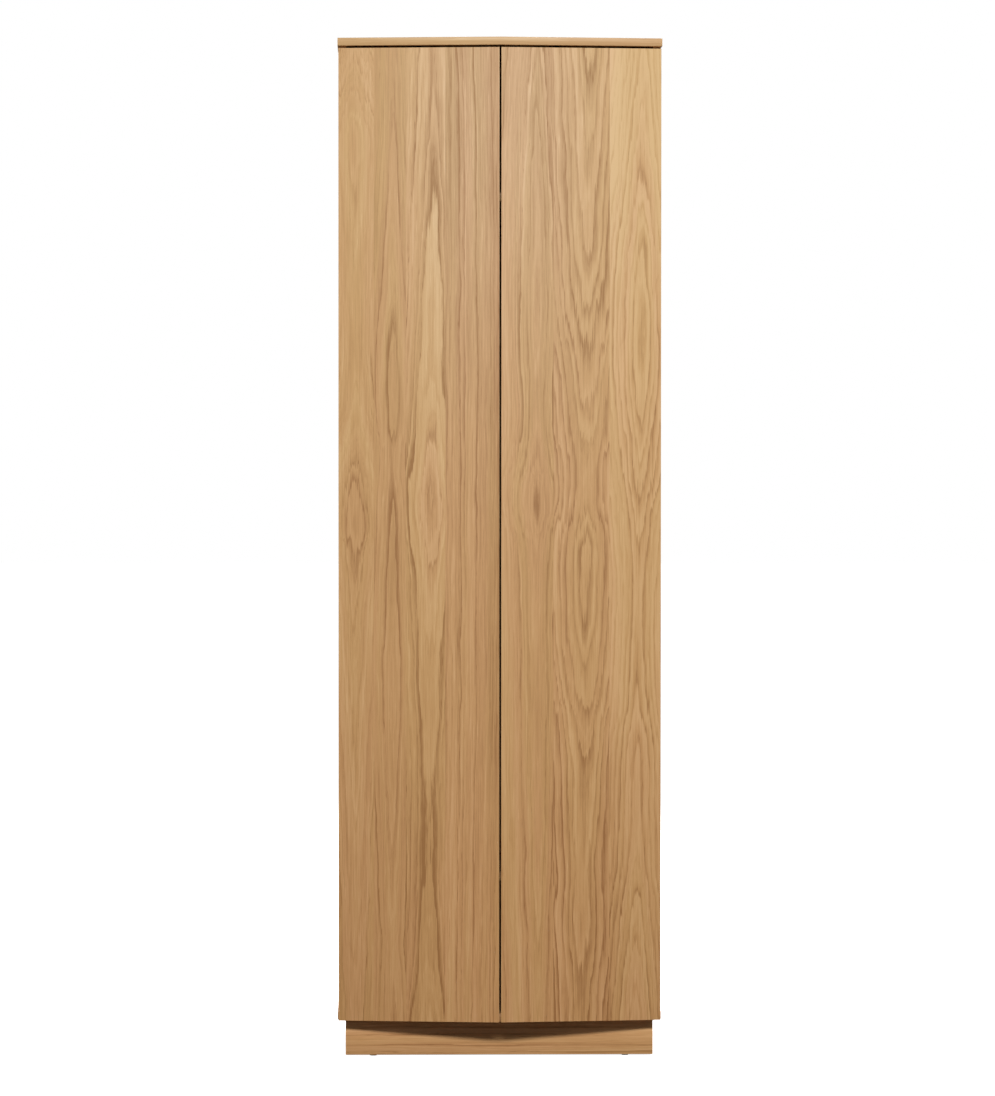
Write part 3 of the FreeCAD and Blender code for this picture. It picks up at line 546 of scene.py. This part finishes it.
rightLeaves = [
    {"centre": 0.080, "heart": 0.006, "ring": 0.0082, "darker": 0.25,
     "rise": [(0.0, 8.5), (0.31, 7.0), (0.6, 6.0), (1.1, 5.0), (1.16, 4.0), (1.21, 3.5),
              (1.3, 5.0), (1.4, 6.3), (1.503, 6.0), (1.6, 5.5), (1.783, 6.0), (1.988, 7.0),
              (2.2, 8.6)]},
    {"from": 0.115, "centre": 0.176, "heart": 0.018, "ring": 0.0125, "tilt": 0.008, "bold": 1.5,
     "darker": 0.1,
     "rise": [(0.0, 10.6), (0.174, 9.9), (0.299, 9.3), (0.403, 9.6), (0.511, 9.2), (0.737, 8.0),
              (0.802, 7.0), (1.104, 5.6), (1.23, 7.0), (1.373, 6.0), (1.492, 5.0), (1.585, 4.0),
              (1.671, 3.0), (1.854, 2.0), (2.085, 1.0), (2.2, 0.5)]},
    {"from": 0.236, "centre": 0.294, "heart": 0.0105, "ring": 0.0105, "tilt": 0.007, "bold": 1.35,
     "darker": -0.4,
     "rise": [(0.0, 0.4), (0.112, 1.0), (0.334, 3.0), (0.422, 4.0), (0.683, 5.0), (0.77, 6.0),
              (0.95, 6.8), (1.136, 6.0), (1.287, 4.0), (1.391, 3.0), (1.555, 2.2), (1.719, 3.0),
              (1.917, 5.0), (2.2, 7.2)]},
]
sideLeaves = [
    {"centre": -0.16, "heart": 0.012, "ring": 0.0105, "tilt": 0.01,
     "rise": [(0.0, 2.0), (0.5, 5.4), (0.9, 7.2), (1.2, 6.0), (1.5, 3.6), (1.8, 5.4), (2.2, 9.0)]},
    {"from": -0.05, "centre": -0.4, "ring": 0.0085,
     "rise": [(0.0, 0.0), (1.1, 1.4), (2.2, 0.6)]},
    {"from": 0.09, "centre": 0.18, "heart": 0.011, "ring": 0.0110, "tilt": -0.012,
     "rise": [(0.0, 8.4), (0.4, 6.0), (0.8, 3.4), (1.1, 4.4), (1.4, 6.2), (1.7, 4.8), (2.0, 2.2),
              (2.2, 1.6)]},
]
plinthLeaves = [{"centre": 0.035, "heart": 0.010, "ring": 0.007}]
straightLeaves = [
    {"centre": -1.4, "ring": 0.007},
    {"from": -0.20, "centre": -1.1, "ring": 0.0065},
    {"from": 0.02, "centre": -0.9, "ring": 0.0072},
]

oakDoorLeft = oakMaterial("oakDoorLeft", leftLeaves, seed=1.3)
oakDoorRight = oakMaterial("oakDoorRight", rightLeaves, seed=4.1)
oakSides = oakMaterial("oakSides", sideLeaves, across="y", seed=7.7)
oakPlinth = oakMaterial("oakPlinth", plinthLeaves, grain="x", across="z", seed=6.6)
oakCuts = {}  # straight oak for each pair of grain axis and cross axis
for grain in "xyz":
    for across in "xyz".replace(grain, ""):
        oakCuts[grain + across] = oakMaterial(
            "oakCut" + grain.upper() + across.upper(), straightLeaves, grain, across,
            seed=oak["cutSeed"] + oak["cutSeedStep"] * len(oakCuts), figure=oak["cutFigure"])
print("oak finishes made")


# Mesh helpers

def deselectAll():
    if bpy.context.object and bpy.context.object.mode != "OBJECT":
        bpy.ops.object.mode_set(mode="OBJECT")
    bpy.ops.object.select_all(action="DESELECT")


def pick(piece):
    deselectAll()
    piece.select_set(True)
    bpy.context.view_layer.objects.active = piece


def selectFaces(piece, wanted):
    pick(piece)
    bpy.ops.object.mode_set(mode="EDIT")
    bpy.ops.mesh.select_all(action="DESELECT")
    bpy.ops.mesh.select_mode(type="FACE")
    bpy.ops.object.mode_set(mode="OBJECT")
    for face in piece.data.polygons:
        face.select = wanted(face.normal)
    bpy.ops.object.mode_set(mode="EDIT")


def bevelEdges(piece, width, segments=2, angle=40):
    pick(piece)
    edge = piece.modifiers.new("softEdge", "BEVEL")
    edge.width = width
    edge.segments = segments
    edge.limit_method = "ANGLE"
    edge.angle_limit = math.radians(angle)
    bpy.ops.object.modifier_apply(modifier=edge.name)


def cutBy(piece, cutter):
    pick(piece)
    cut = piece.modifiers.new("cut", "BOOLEAN")
    cut.operation = "DIFFERENCE"
    cut.solver = "EXACT"
    cut.object = cutter
    bpy.ops.object.modifier_apply(modifier=cut.name)
    bpy.data.objects.remove(cutter, do_unlink=True)


def smooth(piece, angle=35):
    pick(piece)
    bpy.ops.object.shade_smooth_by_angle(angle=math.radians(angle))


def join(piece, extras):
    deselectAll()
    for item in (*extras, piece):
        item.select_set(True)
    bpy.context.view_layer.objects.active = piece
    bpy.ops.object.join()
    return piece


def box(name, size, place):
    deselectAll()
    bpy.ops.mesh.primitive_cube_add(size=1, location=place)
    block = bpy.context.object
    block.name = name
    block.scale = size
    bpy.ops.object.transform_apply(location=True, rotation=True, scale=True)
    return block


turns = {"x": (0, math.radians(90), 0), "y": (math.radians(-90), 0, 0), "z": (0, 0, 0)}


def rod(name, radius, depth, place, axis, sides):
    deselectAll()
    bpy.ops.mesh.primitive_cylinder_add(vertices=sides, radius=radius, depth=depth,
                                        location=place, rotation=turns[axis])
    bar = bpy.context.object
    bar.name = name
    bpy.ops.object.transform_apply(location=True, rotation=True, scale=True)
    return bar


easing = {"merge": 0.00001, "flatAngle": 0.5, "smoothAngle": 30}


def easedCopy(node, name, ease, segments=2):
    # a copy of a CAD node, its loose triangles merged into faces and its edges eased
    piece = bpy.data.objects.new(name, nodes[node].data.copy())
    bpy.context.scene.collection.objects.link(piece)
    piece.data.name = name
    piece.data.materials.clear()
    pick(piece)
    bpy.ops.object.mode_set(mode="EDIT")
    bpy.ops.mesh.select_all(action="SELECT")
    bpy.ops.mesh.remove_doubles(threshold=easing["merge"])
    bpy.ops.mesh.dissolve_limited(angle_limit=math.radians(easing["flatAngle"]))
    bpy.ops.object.mode_set(mode="OBJECT")
    bevelEdges(piece, ease, segments)
    smooth(piece, easing["smoothAngle"])
    return piece


def finishPiece(piece, body, materials, node):
    for material in materials:
        piece.data.materials.append(material)
    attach(piece, body)
    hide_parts(node)


# Boards and doors

boards = {
    "top_panel": ("topBoard", "x"),
    "bottom_panel": ("bottomBoard", "x"),
    "left_side": ("leftSideBoard", "z"),
    "right_side": ("rightSideBoard", "z"),
    "fixing_strip": ("fixingBoard", "x"),
    "hat_shelf": ("hatShelf", "x"),
    "lower_shelf": ("lowerShelf", "x"),
    "plinth_front": ("plinthFront", "x"),
    "plinth_back": ("plinthBack", "x"),
    "plinth_left": ("plinthLeft", "y"),
    "plinth_right": ("plinthRight", "y"),
}
doors = {
    "left_door": ("leftDoorPanel", "z"),
    "right_door": ("rightDoorPanel", "z"),
}
facing = 0.9  # the least share of a normal along an axis
boardEase = 0.0006

# faces with a figure of their own
shownFaces = {
    "plinth_front": (oakPlinth, lambda normal: normal.y < -facing),
    "left_side": (oakSides, lambda normal: normal.x < -facing),
    "right_side": (oakSides, lambda normal: normal.x > facing),
    "left_door": (oakDoorLeft, lambda normal: normal.y < -facing),
    "right_door": (oakDoorRight, lambda normal: normal.y < -facing),
}
endGrain = {"x": "yz", "y": "xz", "z": "xy"}


def cutFor(grain, normal):
    axis = "xyz"[max(range(3), key=lambda place: abs(normal[place]))]
    if axis == grain:
        return endGrain[axis]
    return grain + "xyz".replace(grain, "").replace(axis, "")


def veneer(board, grain, shown):
    # gives each face its oak and returns the materials in the order of their slots
    figured, isShown = shown or (None, None)
    used = ["shown"] if shown else []
    for face in board.data.polygons:
        if shown and isShown(face.normal):
            face.material_index = 0
            continue
        cut = cutFor(grain, face.normal)
        if cut not in used:
            used.append(cut)
        face.material_index = used.index(cut)
    return [figured if cut == "shown" else oakCuts[cut] for cut in used]


def dressBoard(node, name, grain, body):
    board = easedCopy(node, name, boardEase)
    finishPiece(board, body, veneer(board, grain, shownFaces.get(node)), node)


for node, (name, grain) in boards.items():
    dressBoard(node, name, grain, "carcass")
print("boards done")

for node, (name, grain) in doors.items():
    dressBoard(node, name, grain, node + "_leaf")
print("doors done")


# Metal, plastic and rubber of the fittings

marks = {"smearScale": 60.0, "smearDetail": 3.0, "gritScale": 2600.0, "gritDetail": 1.0,
         "smear": 0.48, "bumpDepth": 0.0001}
wear = {"spotScale": 320.0, "edge": (0.52, 0.58), "spread": 0.55, "full": 0.75}


def makeHandlingMarks():
    tree, given, result = newGroup(
        "handlingMarks",
        [("place", "Vector", None), ("base", "Float", 0.3), ("amount", "Float", marks["smear"])],
        [("roughness", "Float"), ("relief", "Float")])
    found = []
    for kind in ("smear", "grit"):
        item = add(tree, "TexNoise")
        item.inputs["Scale"].default_value = marks[kind + "Scale"]
        item.inputs["Detail"].default_value = marks[kind + "Detail"]
        feed(tree, given["place"], item.inputs["Vector"])
        found.append(item.outputs["Fac"])
    smear, grit = found
    feed(tree, moved(tree, smear, given["amount"], given["base"]), result["roughness"])
    feed(tree, grit, result["relief"])
    return tree


def makeWornEdge():
    tree, given, result = newGroup(
        "wornEdge", [("place", "Vector", None), ("spread", "Float", wear["spread"])],
        [("worn", "Float")])
    spots = add(tree, "TexNoise")
    spots.inputs["Scale"].default_value = wear["spotScale"]
    feed(tree, given["place"], spots.inputs["Vector"])
    edge = ramp(tree, add(tree, "NewGeometry").outputs["Pointiness"], *wear["edge"])
    rubbed = ramp(tree, spots.outputs["Fac"], given["spread"], wear["full"])
    feed(tree, calc(tree, "MULTIPLY", edge, rubbed), result["worn"])
    return tree


handlingMarks = makeHandlingMarks()
wornEdge = makeWornEdge()

finishes = {
    "nickelSteel": {"tone": tone(188, 184, 176), "worn": tone(212, 208, 200),
                    "metal": 1.0, "rough": 0.30, "bump": 0.05},
    "railChrome": {"tone": tone(206, 207, 209), "worn": tone(222, 222, 224),
                   "metal": 1.0, "rough": 0.16, "bump": 0.02},
    "screwSteel": {"tone": tone(170, 166, 158), "worn": tone(205, 200, 190),
                   "metal": 1.0, "rough": 0.34, "bump": 0.08},
    "latchPlastic": {"tone": tone(74, 72, 70), "worn": tone(96, 94, 92),
                     "metal": 0.0, "rough": 0.48, "bump": 0.25},
    "darkRubber": {"tone": tone(46, 45, 44), "worn": tone(66, 64, 62),
                   "metal": 0.0, "rough": 0.72, "bump": 0.35},
}


def fittingMaterial(name, recipe):
    finish, tree, shader = newFinish(name)
    place = add(tree, "TexCoord").outputs["Object"]
    handled = useGroup(tree, handlingMarks, place=place, base=recipe["rough"])
    worn = useGroup(tree, wornEdge, place=place)["worn"]
    colour = blendColour(tree, worn, recipe["tone"], recipe["worn"])
    feed(tree, colour, shader.inputs["Base Color"])
    feed(tree, handled["roughness"], shader.inputs["Roughness"])
    shader.inputs["Metallic"].default_value = recipe["metal"]
    addBump(tree, shader, handled["relief"], recipe["bump"], marks["bumpDepth"])
    return finish


fitting = {name: fittingMaterial(name, recipe) for name, recipe in finishes.items()}

# Fittings: their places are in metres, measured in the frame of a door or of a side panel

lay = {
    "sideFace": 0.348,
    "doorBack": -0.236101,
    "sideFront": -0.233076,
    "angle": math.atan(0.045 / 0.35),  # the V of the front: its ridge over half the width
    "hinges": (0.180, 0.812667, 1.445333, 2.078),
    "latch": 2.171,
}
hands = {"left": 1, "right": -1}


def doorFrame(side, height):
    hand = hands[side]
    turn = Matrix.Rotation(-hand * lay["angle"], 4, "Z")
    return Matrix.Translation((-hand * lay["sideFace"], lay["doorBack"], height)) @ turn


def sideFrame(side, height):
    return Matrix.Translation((-hands[side] * lay["sideFace"], lay["sideFront"], height))


screw = {"radius": 0.0036, "height": 0.0008, "sides": 28, "domeWidth": 0.0009,
         "domeHeight": 0.00018, "ease": 0.00018, "easeAngle": 50,
         "recess": 0.0046, "slot": 0.0008, "depth": 0.0006, "above": 0.0002}


def makeScrew():
    height = screw["height"]
    head = rod("screwHead", screw["radius"], height, (0, 0, height / 2), "z", screw["sides"])
    selectFaces(head, lambda normal: normal.z > facing)
    bpy.ops.mesh.inset(thickness=screw["domeWidth"], depth=screw["domeHeight"])
    bpy.ops.object.mode_set(mode="OBJECT")
    bevelEdges(head, screw["ease"], 2, screw["easeAngle"])
    for size in ((screw["recess"], screw["slot"]), (screw["slot"], screw["recess"])):
        cutBy(head, box("recess", (*size, 2 * screw["depth"]), (0, 0, height + screw["above"])))
    smooth(head)
    return head


screwHead = makeScrew()


def screwAt(place, direction, carrier, scale=1.0):
    turn = Vector((0, 0, 1)).rotation_difference(Vector(direction)).to_matrix().to_4x4()
    copy = bpy.data.objects.new("screw", screwHead.data.copy())
    bpy.context.scene.collection.objects.link(copy)
    copy.data.transform(carrier @ Matrix.Translation(place) @ turn @ Matrix.Scale(scale, 4))
    copy.data.materials.append(fitting["screwSteel"])
    return copy


def dressPlated(node, name, ease, body, screws):
    piece = easedCopy(node, name, ease)
    piece.data.materials.append(fitting["nickelSteel"])
    join(piece, screws)
    finishPiece(piece, body, [], node)


hinge = {
    "flangeScrew": (0.0285, 0.0012, 0.024),  # inwards, out of the door's back, up and down
    "wingScrew": (0.0195, 0.0348, 0.018),  # inwards, backwards, up and down
    "armWeb": 0.03935,
    "armScrews": (0.021, 0.049),
    "armScrewScale": 0.95,
    "cupEase": 0.00018,
    "armEase": 0.0002,
    "plateEase": 0.0003,
    "linkEase": 0.00012,
}


def dressHinge(side, number):
    hand, height = hands[side], lay["hinges"][number - 1]
    onDoor, onSide = doorFrame(side, height), sideFrame(side, height)
    inwards = (hand, 0, 0)

    def dress(kind, body, screws):
        node, name = f"{side}_hinge_{kind}_{number}", f"{side}Hinge{kind.capitalize()}{number}"
        dressPlated(node, name, hinge[kind + "Ease"], body, screws)

    across, out, up = hinge["flangeScrew"]
    dress("cup", side + "_door_leaf",
          [screwAt((hand * across, out, end * up), (0, 1, 0), onDoor) for end in (1, -1)])
    dress("arm", "carcass",
          [screwAt((hand * hinge["armWeb"], back, 0), inwards, onSide, hinge["armScrewScale"])
           for back in hinge["armScrews"]])
    across, back, up = hinge["wingScrew"]
    dress("plate", "carcass",
          [screwAt((hand * across, back, end * up), inwards, onSide) for end in (1, -1)])


def dressLinks(side, kind):
    node = f"{side}_{kind}_links"
    links = easedCopy(node, f"{side}{kind.capitalize()}Links", hinge["linkEase"], 1)
    finishPiece(links, f"{side}_{kind}_linkage", [fitting["nickelSteel"]], node)


for side in hands:
    for number in range(1, len(lay["hinges"]) + 1):
        dressHinge(side, number)
    for kind in ("inner", "outer"):
        dressLinks(side, kind)
print("hinges done")

latch = {
    "across": 0.31885,
    "front": 0.0013,
    "radius": 0.004,
    "length": 0.032,
    "sides": 40,
    "housingEase": 0.0006,
    "plungerEase": 0.0003,
    "tip": 0.0022,
    "tipEase": 0.0008,
    "rodAngle": 60,
    "plateEase": 0.00025,
    "plateFace": 0.001,
    "plateScrew": 0.0066,
    "screwScale": 0.55,
}


def dressHousing(side):
    node = side + "_latch_housing"
    housing = easedCopy(node, side + "LatchHousing", latch["housingEase"], 3)
    finishPiece(housing, "carcass", [fitting["latchPlastic"]], node)


def dressPlunger(side):
    middle, front = hands[side] * latch["across"], latch["front"]
    stem, rear = front + latch["tip"], front + latch["length"]
    plunger = rod(side + "Plunger", latch["radius"], rear - stem,
                  (middle, (stem + rear) / 2, 0), "y", latch["sides"])
    bevelEdges(plunger, latch["plungerEase"], 2, latch["rodAngle"])
    tip = rod("tip", latch["radius"] - latch["plungerEase"], latch["tip"],
              (middle, front + latch["tip"] / 2, 0), "y", latch["sides"])
    bevelEdges(tip, latch["tipEase"], 4, latch["rodAngle"])
    plunger.data.materials.append(fitting["latchPlastic"])
    tip.data.materials.append(fitting["darkRubber"])
    join(plunger, [tip])
    plunger.data.transform(doorFrame(side, lay["latch"]))
    smooth(plunger)
    finishPiece(plunger, side + "_push_plunger", [], side + "_plunger")


def dressStrike(side):
    middle, onDoor = hands[side] * latch["across"], doorFrame(side, lay["latch"])
    heads = [screwAt((middle + shift, latch["plateFace"], 0), (0, 1, 0), onDoor, latch["screwScale"])
             for shift in (latch["plateScrew"], -latch["plateScrew"])]
    dressPlated(side + "_strike_plate", side + "StrikePlate", latch["plateEase"],
                side + "_door_leaf", heads)


for side in hands:
    dressHousing(side)
    dressPlunger(side)
    dressStrike(side)
print("latches done")

rail = {
    "radius": 0.0125,
    "wall": 0.0012,
    "height": 1.795,
    "sides": 72,
    "plateFace": 0.328,
    "screwInset": 0.008,
    "screwScale": 0.9,
    "socketEase": 0.0005,
}


def hangRail():
    low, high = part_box("hanging_rail")
    tube = rod("hangingRail", rail["radius"], high.x - low.x,
               (0, (low.y + high.y) / 2, rail["height"]), "x", rail["sides"])
    selectFaces(tube, lambda normal: abs(normal.x) > facing)
    bpy.ops.mesh.delete(type="ONLY_FACE")
    bpy.ops.object.mode_set(mode="OBJECT")
    pick(tube)
    wall = tube.modifiers.new("wall", "SOLIDIFY")
    wall.thickness = rail["wall"]
    wall.offset = -1
    bpy.ops.object.modifier_apply(modifier=wall.name)
    smooth(tube)
    finishPiece(tube, "carcass", [fitting["railChrome"]], "hanging_rail")


def dressSocket(side):
    node, hand = side + "_rail_socket", hands[side]
    low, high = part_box(node)
    heads = [screwAt((-hand * rail["plateFace"], (low.y + high.y) / 2, spot), (hand, 0, 0),
                     Matrix.Identity(4), rail["screwScale"])
             for spot in (low.z + rail["screwInset"], high.z - rail["screwInset"])]
    dressPlated(node, side + "RailSocket", rail["socketEase"], "carcass", heads)


hangRail()
for side in hands:
    dressSocket(side)
print("rail done")

pin = {"radius": 0.00231, "length": 0.019, "inner": 0.322, "sides": 24,
       "ease": 0.0006, "easeAngle": 60}


def makePins():
    low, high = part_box("shelf_pins")
    radius, height = pin["radius"], high.z - pin["radius"]
    pegs = []
    for hand in hands.values():
        for back in (low.y + radius, high.y - radius):
            middle = hand * (pin["inner"] + pin["length"] / 2)
            peg = rod("shelfPin", radius, pin["length"], (middle, back, height), "x", pin["sides"])
            bevelEdges(peg, pin["ease"], 3, pin["easeAngle"])
            pegs.append(peg)
    pins = join(pegs[0], pegs[1:])
    pins.name = "shelfPins"
    smooth(pins)
    finishPiece(pins, "carcass", [fitting["nickelSteel"]], "shelf_pins")


glide = {"radius": 0.0074, "sides": 40, "rim": 0.0015, "step": 0.0004, "stepDepth": 0.0003,
         "ease": 0.0004, "easeAngle": 60}


def makeGlides():
    low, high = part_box("plinth_glides")
    radius = glide["radius"]
    feet = []
    for x in (low.x + radius, high.x - radius):
        for y in (low.y + radius, high.y - radius):
            foot = rod("glide", radius, high.z - low.z, (x, y, (low.z + high.z) / 2), "z",
                       glide["sides"])
            selectFaces(foot, lambda normal: normal.z < -facing)
            bpy.ops.mesh.inset(thickness=glide["rim"], depth=0.0)
            bpy.ops.mesh.inset(thickness=glide["step"], depth=-glide["stepDepth"])
            bpy.ops.object.mode_set(mode="OBJECT")
            bevelEdges(foot, glide["ease"], 2, glide["easeAngle"])
            feet.append(foot)
    glides = join(feet[0], feet[1:])
    glides.name = "plinthGlides"
    smooth(glides)
    finishPiece(glides, "carcass", [fitting["latchPlastic"]], "plinth_glides")


makePins()
makeGlides()
bpy.data.objects.remove(screwHead, do_unlink=True)
print("pins and glides done")

# the CAD nodes that stay
for name in ("back_panel", "plinth_blocks", "loose_tongues"):
    nodes[name].data.materials.clear()
    nodes[name].data.materials.append(oakCuts["zx"])
